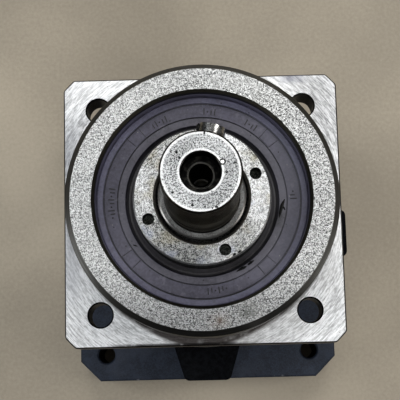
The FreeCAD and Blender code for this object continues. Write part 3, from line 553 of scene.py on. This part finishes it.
def seal_rubber():
    """Moulded nitrile: satin charcoal with a violet cast, lighter bands, grease marks."""
    m = Mat("seal_rubber_moulded")
    c = m.coord()
    g1 = m.noise(c["vec"], 1500.0, 3.0, 0.6)
    g2 = m.noise(c["vec"], 240.0, 4.0, 0.65)
    k = m.step(m.add(m.mul(g1, 0.55), m.mul(g2, 0.45)), 0.34, 0.66)
    col = m.grey(k, 0.058, 0.098, (0.94, 0.90, 1.24))
    outer = m.step(c["r"], 21.75, 22.0)
    col = m.mix(m.mul(outer, 0.95), col, m.grey(k, 0.125, 0.190, (0.93, 0.92, 1.28)))
    ring = m.band(c["r"], 17.05, 18.55, 0.10)
    col = m.mix(m.mul(ring, 0.65), col, m.grey(k, 0.085, 0.135, (0.98, 0.95, 1.10)))
    lines = m.mx(m.band(c["r"], 21.62, 21.92, 0.05), m.mx(m.band(c["r"], 18.60, 18.84, 0.05), m.band(c["r"], 16.70, 16.98, 0.06)))
    col = m.mix(m.mul(lines, 0.88), col, (0.008, 0.008, 0.010))
    dust = m.step(m.noise(c["vec"], 620.0, 3.0, 0.7), 0.56, 0.74)
    col = m.mix(m.mul(dust, 0.34), col, (0.21, 0.20, 0.235))
    # dust collects on the left and along the top of the face
    side = m.step(m.noise(c["vec"], 95.0, 3.0, 0.6), 0.40, 0.66)
    col = m.mix(m.mul(side, 0.22), col, (0.16, 0.155, 0.19))
    # the face is lighter towards the right
    right = m.step(c["x"], 0.006, 0.020)
    col = m.mix(m.mul(right, 0.20), col, (0.17, 0.175, 0.20))
    speck = m.mul(m.step(m.cells(c["vec"], 620.0), 0.06, 0.11, 1.0, 0.0), m.step(g2, 0.48, 0.55))
    col = m.mix(m.mul(speck, 0.55), col, (0.30, 0.29, 0.28))
    black = m.mul(m.step(m.cells(m.vec(m.add(c["x"], 0.05), c["y"], c["z"]), 540.0), 0.06, 0.11, 1.0, 0.0), m.step(g2, 0.44, 0.52, 1.0, 0.0))
    col = m.mix(m.mul(black, 0.8), col, (0.006, 0.006, 0.006))
    # the lip zone next to the nut is oily and dark
    lip = m.step(c["r"], 16.4, 16.9, 1.0, 0.0)
    col = m.mix(m.mul(lip, 0.60), col, (0.050, 0.048, 0.038))
    # grease smears
    nz = m.noise(c["vec"], 1300.0, 3.0, 0.7)
    smear = m.mul(m.mul(sector(m, 339.0, 352.0, 4.0), m.band(c["r"], 16.2, 18.2, 0.9)), m.step(nz, 0.34, 0.60, 0.35, 0.75))
    smear2 = m.mul(m.mul(sector(m, 294.0, 307.0, 4.0), m.band(c["r"], 15.6, 17.2, 0.8)), m.step(nz, 0.34, 0.60, 0.30, 0.70))
    grease = m.mx(smear, smear2)
    col = m.mix(grease, col, (0.012, 0.012, 0.013))
    rough = m.math("MULTIPLY_ADD", k, 0.10, 0.50)
    rough = m.mixf(m.mx(grease, m.mul(lip, 0.5)), rough, 0.20)
    n = m.bump(g1, 0.22, 0.00006)
    n = m.bump(grease, 0.5, 0.00010, n)
    return m.finish(col, rough, 0.0, n, Specular_IOR_Level=0.5)


def seal_mark_rubber():
    """The raised marks are rubbed darker than the face round them."""
    m = Mat("seal_rubber_marks")
    c = m.coord()
    g = m.noise(c["vec"], 1700.0, 3.0, 0.6)
    col = m.grey(m.step(g, 0.3, 0.7), 0.014, 0.034, (0.98, 0.95, 1.10))
    rough = m.math("MULTIPLY_ADD", g, 0.12, 0.50)
    return m.finish(col, rough, 0.0, m.bump(g, 0.2, 0.00005))


def plug_plastic():
    m = Mat("plug_plastic_moulded")
    c = m.coord()
    g = m.noise(c["vec"], 1800.0, 3.0, 0.6)
    w = m.noise(c["vec"], 260.0, 3.0, 0.6)
    col = m.grey(m.step(w, 0.3, 0.7), 0.012, 0.030)
    rough = m.math("MULTIPLY_ADD", g, 0.16, 0.42)
    return m.finish(col, rough, 0.0, m.bump(g, 0.3, 0.00006))


def black_oxide():
    m = Mat("black_oxide_screw")
    c = m.coord()
    g = m.noise(c["vec"], 2200.0, 3.0, 0.6)
    w = m.step(m.noise(c["vec"], 420.0, 3.0, 0.65), 0.55, 0.68)
    col = m.mix(m.mul(w, 0.5), m.grey(g, 0.030, 0.070), (0.22, 0.21, 0.20))
    rough = m.math("MULTIPLY_ADD", g, 0.14, 0.34)
    return m.finish(col, rough, 0.85, m.bump(g, 0.25, 0.00005))


MATS = {
    "machined_steel": machined_housing(),
    "shaft_steel": shaft_metal(),
    "nut_steel": nut_metal(),
    "key_steel": plain_metal("key_steel_drawn", 0.07, 0.40, (1.0, 1.0, 0.98), 0.26, 0.45, axis_rings=False),
    "gear_steel": plain_metal("gear_steel_ground", 0.26, 0.46, (1.0, 0.99, 0.97), 0.36),
    "bearing_steel": plain_metal("bearing_steel_polished", 0.48, 0.66, (1.0, 1.0, 1.0), 0.20, 0.6),
    "ball_chrome": plain_metal("ball_chrome_polished", 0.62, 0.74, (1.0, 1.0, 1.01), 0.08, 0.9, stain=0.05),
    "cage_brass": plain_metal("cage_brass_pressed", 0.50, 0.68, (1.0, 0.76, 0.34), 0.32),
    "spring_steel": plain_metal("spring_steel_phosphated", 0.14, 0.28, (1.0, 1.0, 1.0), 0.42),
    "black_screw": black_oxide(),
    "seal_rubber": seal_rubber(),
    "black_anodised": anodised_plate(),
    "black_paint": black_casting(),
    "plug_plastic": plug_plastic(),
}

SLOT_OF = {s["node"]: s["material_slot"] for s in frame["record"]["subparts"]}
for name, ob in NODES.items():
    mat = MATS[SLOT_OF[name]]
    if not ob.material_slots:
        ob.data.materials.append(mat)
    for slot in ob.material_slots:
        slot.material = mat


# ------------------------------------------------------------------ meshes
def link(name, mesh):
    ob = bpy.data.objects.new(name, mesh)
    bpy.context.scene.collection.objects.link(ob)
    return ob


def lathe(name, profile, segs=360, sharp=28.0):
    """Closed ring of revolution from a closed (r, z) outline in millimetres."""
    n = len(profile)
    verts = []
    for i in range(segs):
        a = 2 * math.pi * i / segs
        for r, z in profile:
            verts.append((r * MM * math.cos(a), r * MM * math.sin(a), z * MM))
    faces = []
    for i in range(segs):
        j = (i + 1) % segs
        for k in range(n):
            l = (k + 1) % n
            faces.append((i * n + k, j * n + k, j * n + l, i * n + l))
    me = bpy.data.meshes.new(name)
    me.from_pydata(verts, [], faces)
    me.update()
    # outward normals
    bm = bmesh.new()
    bm.from_mesh(me)
    bmesh.ops.recalc_face_normals(bm, faces=bm.faces)
    for f in bm.faces:
        f.smooth = True
    for e in bm.edges:
        if len(e.link_faces) == 2 and math.degrees(e.calc_face_angle()) > sharp:
            e.smooth = False
    bm.to_mesh(me)
    bm.free()
    return link(name, me)


# ------------------------------------------------------------------ details
def add_faces(verts, faces, block):
    base = len(verts)
    verts.extend(block[0])
    faces.extend(tuple(base + i for i in f) for f in block[1])


def sector_block(r0, r1, a0, a1, z0, z1, taper=0.0, steps=8):
    """Annular sector between two radii and two angles, top drawn in by taper (mm)."""
    v, f = [], []
    for lvl, z in ((0, z0), (1, z1)):
        d = taper * lvl
        for i in range(steps + 1):
            a = math.radians(a0 + (a1 - a0) * i / steps)
            shift = math.degrees(d / r0)
            t = 1.0 - 2.0 * i / steps
            a += math.radians(shift) * t
            for r in (r0 + d, r1 - d):
                v.append((r * MM * math.cos(a), r * MM * math.sin(a), z * MM))
    w = 2 * (steps + 1)
    for i in range(steps):
        p, q = 2 * i, 2 * i + 2
        f.append((w + p, w + p + 1, w + q + 1, w + q))
        f.append((p, q, q + 1, p + 1))
        f.append((p, w + p, w + q, q))
        f.append((p + 1, q + 1, w + q + 1, w + p + 1))
    f.append((0, 1, w + 1, w))
    e = 2 * steps
    f.append((e, w + e, w + e + 1, e + 1))
    return v, f


def stud(r, a, size, z0, z1, steps=14):
    """Small round stud with a domed top."""
    cx, cy = r * math.cos(math.radians(a)), r * math.sin(math.radians(a))
    v, f = [], []
    rows = ((1.0, z0), (1.0, z0 + (z1 - z0) * 0.55), (0.72, z0 + (z1 - z0) * 0.9), (0.30, z1))
    for k, z in rows:
        for i in range(steps):
            t = 2 * math.pi * i / steps
            v.append(((cx + size * k * math.cos(t)) * MM, (cy + size * k * math.sin(t)) * MM, z * MM))
    for j in range(len(rows) - 1):
        for i in range(steps):
            n = (i + 1) % steps
            f.append((j * steps + i, j * steps + n, (j + 1) * steps + n, (j + 1) * steps + i))
    f.append(tuple((len(rows) - 1) * steps + i for i in range(steps)))
    f.append(tuple(reversed(range(steps))))
    return v, f


def solid(name, blocks, mat, body, smooth=False):
    verts, faces = [], []
    for b in blocks:
        add_faces(verts, faces, b)
    me = bpy.data.meshes.new(name)
    me.from_pydata(verts, [], faces)
    me.update()
    bm = bmesh.new()
    bm.from_mesh(me)
    bmesh.ops.recalc_face_normals(bm, faces=bm.faces)
    if smooth:
        for f in bm.faces:
            f.smooth = True
        for e in bm.edges:
            if len(e.link_faces) == 2 and math.degrees(e.calc_face_angle()) > 40.0:
                e.smooth = False
    bm.to_mesh(me)
    bm.free()
    me.materials.append(mat)
    ob = link(name, me)
    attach(ob, body)
    return ob


def coil(x, y, r_out, r_in, z0, z1, pitch, steps=40):
    """Screw thread ridge inside a hole: a triangle swept along a helix."""
    turns = (z1 - z0) / pitch
    n = int(turns * steps)
    v, f = [], []
    for i in range(n + 1):
        t = i / steps
        a = 2 * math.pi * t
        z = z0 + pitch * t
        fade = min(1.0, i / 10.0, (n - i) / 10.0)
        ri = r_out - (r_out - r_in) * max(0.08, fade)
        for r, dz in ((r_out, -0.42 * pitch), (ri, -0.06 * pitch), (ri, 0.06 * pitch), (r_out, 0.42 * pitch)):
            v.append(((x + r * math.cos(a)) * MM, (y + r * math.sin(a)) * MM, (z + dz) * MM))
    for i in range(n):
        for k in range(4):
            l = (k + 1) % 4
            f.append((i * 4 + k, i * 4 + l, (i + 1) * 4 + l, (i + 1) * 4 + k))
    f.append((0, 1, 2, 3))
    e = n * 4
    f.append((e + 3, e + 2, e + 1, e))
    return v, f


SEAL_MM = Z_SEAL * 1000.0
pads, marks = [], []
for mid in (42.0, 134.5, 218.5, 313.0):
    pads.append(sector_block(18.98, 21.46, mid - 4.4, mid + 4.4, SEAL_MM - 0.35, SEAL_MM - 0.055, 0.05, 10))
    for e in (-4.6, 4.6):
        marks.append(sector_block(18.9, 21.52, mid + e - 0.13, mid + e + 0.13, SEAL_MM - 0.35, SEAL_MM - 0.085, 0.0, 2))
# plain raised dashes and dots where a maker would mould its size code
GROUPS = {2.0: 3, 56.0: 4, 84.0: 4, 117.0: 5, 180.5: 9, 278.0: 6}
Z0, Z1 = SEAL_MM - 0.35, SEAL_MM - 0.07
for mid, count in GROUPS.items():
    for k in range(count):
        a = mid + (k - (count - 1) / 2) * 2.3
        if k % 3 == 2:
            marks.append(stud(20.1, a, 0.22, Z0, Z1))
        else:
            r_top = 20.85 if k % 3 == 0 else 20.45
            marks.append(sector_block(19.40, r_top, a - 0.33, a + 0.33, Z0, Z1, 0.0, 1))
solid("seal_index_pads", pads, MATS["seal_rubber"], "housing")
solid("seal_marks", marks, seal_mark_rubber(), "housing")

def bead(path, z, flat=0.45, steps=10):
    """Thick smear drawn along (radius, angle, half width) points, flattened on the face."""
    pts = [(r * math.cos(math.radians(a)), r * math.sin(math.radians(a)), h * 1.2) for r, a, h in path]
    v, f = [], []
    n = len(pts)
    for i, (x, y, h) in enumerate(pts):
        x0, y0, _ = pts[max(0, i - 1)]
        x1, y1, _ = pts[min(n - 1, i + 1)]
        ln = math.hypot(x1 - x0, y1 - y0)
        nx, ny = -(y1 - y0) / ln, (x1 - x0) / ln
        for k in range(steps):
            t = 2 * math.pi * k / steps
            v.append(((x + nx * h * math.cos(t)) * MM, (y + ny * h * math.cos(t)) * MM, (z + flat * h * math.sin(t)) * MM))
    for i in range(n - 1):
        for k in range(steps):
            l = (k + 1) % steps
            f.append((i * steps + k, i * steps + l, (i + 1) * steps + l, (i + 1) * steps + k))
    f.append(tuple(range(steps)))
    f.append(tuple((n - 1) * steps + k for k in reversed(range(steps))))
    return v, f


def grease_black():
    m = Mat("grease_black")
    c = m.coord()
    g = m.noise(c["vec"], 1600.0, 3.0, 0.6)
    col = m.grey(m.step(g, 0.3, 0.7), 0.003, 0.011, (1.0, 1.0, 0.95))
    return m.finish(col, m.math("MULTIPLY_ADD", g, 0.25, 0.22), 0.0, m.bump(g, 0.35, 0.00008), Specular_IOR_Level=0.15)


BAND_Z = SEAL_MM - 0.24
beads = [
    bead([(18.2, 359.4, 0.05), (17.9, 357.4, 0.20), (17.6, 354.8, 0.29), (17.45, 351.6, 0.27), (17.35, 348.4, 0.20), (17.3, 345.6, 0.05)], BAND_Z + 0.03),
    bead([(17.7, 354.4, 0.10), (18.1, 353.2, 0.17), (18.4, 351.6, 0.05)], BAND_Z + 0.02),
    bead([(17.45, 309.0, 0.05), (17.38, 306.4, 0.22), (17.45, 303.6, 0.14)], BAND_Z + 0.02),
    bead([(17.50, 302.0, 0.07), (17.42, 299.6, 0.26), (17.36, 297.0, 0.20), (17.46, 294.0, 0.05)], BAND_Z + 0.02),
    bead([(17.50, 214.0, 0.05), (17.75, 213.0, 0.14), (18.05, 211.8, 0.12), (18.3, 211.2, 0.04)], BAND_Z - 0.06),
    bead([(20.3, 196.2, 0.05), (20.35, 195.6, 0.11), (20.38, 195.0, 0.04)], BAND_Z + 0.06),
]
MATS_GREASE = grease_black()
solid("grease_beads", beads, MATS_GREASE, "housing", True)
lumps = [
    bead([(8.30, 92.2, 0.05), (8.85, 91.8, 0.34), (9.40, 91.4, 0.42), (9.90, 91.2, 0.30), (10.3, 91.0, 0.05)], 155.7, 0.8, 14),
    bead([(8.25, 93.0, 0.04), (8.30, 94.6, 0.20), (8.22, 96.8, 0.14), (8.12, 98.6, 0.03)], 156.4, 1.0),
]
nut_spots = [
    bead([(14.55, 304.2, 0.04), (14.38, 302.2, 0.17), (14.42, 300.6, 0.10)], 130.66, 0.45),
    bead([(14.40, 299.0, 0.08), (14.30, 297.4, 0.22), (14.45, 295.6, 0.05)], 130.66, 0.45),
]
solid("nut_grease", nut_spots, MATS_GREASE, "output", True)
solid("key_grease", lumps, MATS_GREASE, "output", True)

solid("shaft_thread", [coil(0.0, 0.0, 2.13, 1.90, 141.2, 155.1, 0.8)],
      MATS["shaft_steel"], "output", True)
threads = []
for sx in (-1, 1):
    for sy in (-1, 1):
        threads.append(coil(sx * 31.82, sy * 31.82, 2.63, 2.40, 0.9, 17.0, 1.0, 28))
solid("motor_threads", threads, MATS["black_anodised"], "housing", True)


# ------------------------------------------------------------------ stage
def stage():
    m = Mat("floor_paper")
    c = m.coord()
    g = m.noise(c["vec"], 900.0, 4.0, 0.6)
    w = m.noise(c["vec"], 6.0, 3.0, 0.5)
    w2 = m.noise(c["vec"], 15.0, 3.0, 0.5, 0.4)
    k = m.add(m.mul(g, 0.20), m.add(m.mul(w, 0.42), m.mul(w2, 0.38)))
    # painted shade: the floor is darker towards the front
    near = m.step(m.mul(c["y"], 1000.0), -75.0, 20.0, 1.0, 0.0)
    col = m.grey(m.step(k, 0.33, 0.67), 0.300, 0.475, (1.0, 0.885, 0.705))
    col = m.mix(m.mul(near, 0.35), col, m.grey(m.step(k, 0.33, 0.67), 0.235, 0.34, (1.0, 0.885, 0.71)))
    m.finish(col, 0.75, 0.0, m.bump(g, 0.15, 0.0002))
    me = bpy.data.meshes.new("floor")
    s = 2.5
    me.from_pydata([(-s, -s, -0.0001), (s, -s, -0.0001), (s, s, -0.0001), (-s, s, -0.0001)], [], [(0, 1, 2, 3)])
    me.materials.append(m.m)
    floor = link("floor", me)

    world = bpy.data.worlds.new("studio")
    bpy.context.scene.world = world
    world.use_nodes = True
    bg = world.node_tree.nodes["Background"]
    bg.inputs[0].default_value = (0.90, 0.94, 1.0, 1.0)
    bg.inputs[1].default_value = 0.10

    def area(name, loc, look, size, power, colour=(1, 1, 1)):
        l = bpy.data.lights.new(name, "AREA")
        l.shape = "RECTANGLE"
        l.size, l.size_y = size
        l.energy = power
        l.color = colour
        ob = bpy.data.objects.new(name, l)
        bpy.context.scene.collection.objects.link(ob)
        ob.location = loc
        ob.rotation_mode = "QUATERNION"
        ob.rotation_quaternion = (Vector(look) - Vector(loc)).to_track_quat("-Z", "Y")
        return ob

    area("softbox_back", (0.06, 0.52, 0.98), (0, 0, 0.1), (0.60, 0.34), 3.2, (1.0, 0.99, 0.975))
    area("softbox_left", (-0.66, 0.12, 0.92), (0, 0, 0.1), (0.36, 0.56), 2.3, (0.95, 0.975, 1.0))
    area("softbox_right", (0.66, 0.02, 0.90), (0, 0, 0.1), (0.34, 0.50), 2.9, (1.0, 0.98, 0.95))
    area("softbox_front", (0.12, -0.58, 0.96), (0, 0, 0.1), (0.60, 0.30), 2.5, (0.98, 0.99, 1.0))
    # small weak light over the camera that reaches into the bores
    area("fill_top", (0.0, -0.035, 0.46), (0, 0, 0.14), (0.05, 0.05), 0.045, (1.0, 0.99, 0.97))
    # low broad cards that open up the sides
    area("card_left", (-1.15, -0.35, 0.36), (0, 0, 0.08), (0.5, 0.5), 2.4, (0.96, 0.98, 1.0))
    area("card_right", (1.15, -0.45, 0.36), (0, 0, 0.08), (0.5, 0.5), 1.6, (1.0, 0.98, 0.96))
    area("card_back", (0.15, 1.25, 0.40), (0, 0, 0.08), (0.5, 0.5), 1.2, (1.0, 0.99, 0.97))


stage()
bpy.context.scene.view_settings.view_transform = "Standard"
bpy.context.scene.view_settings.look = "Medium High Contrast"
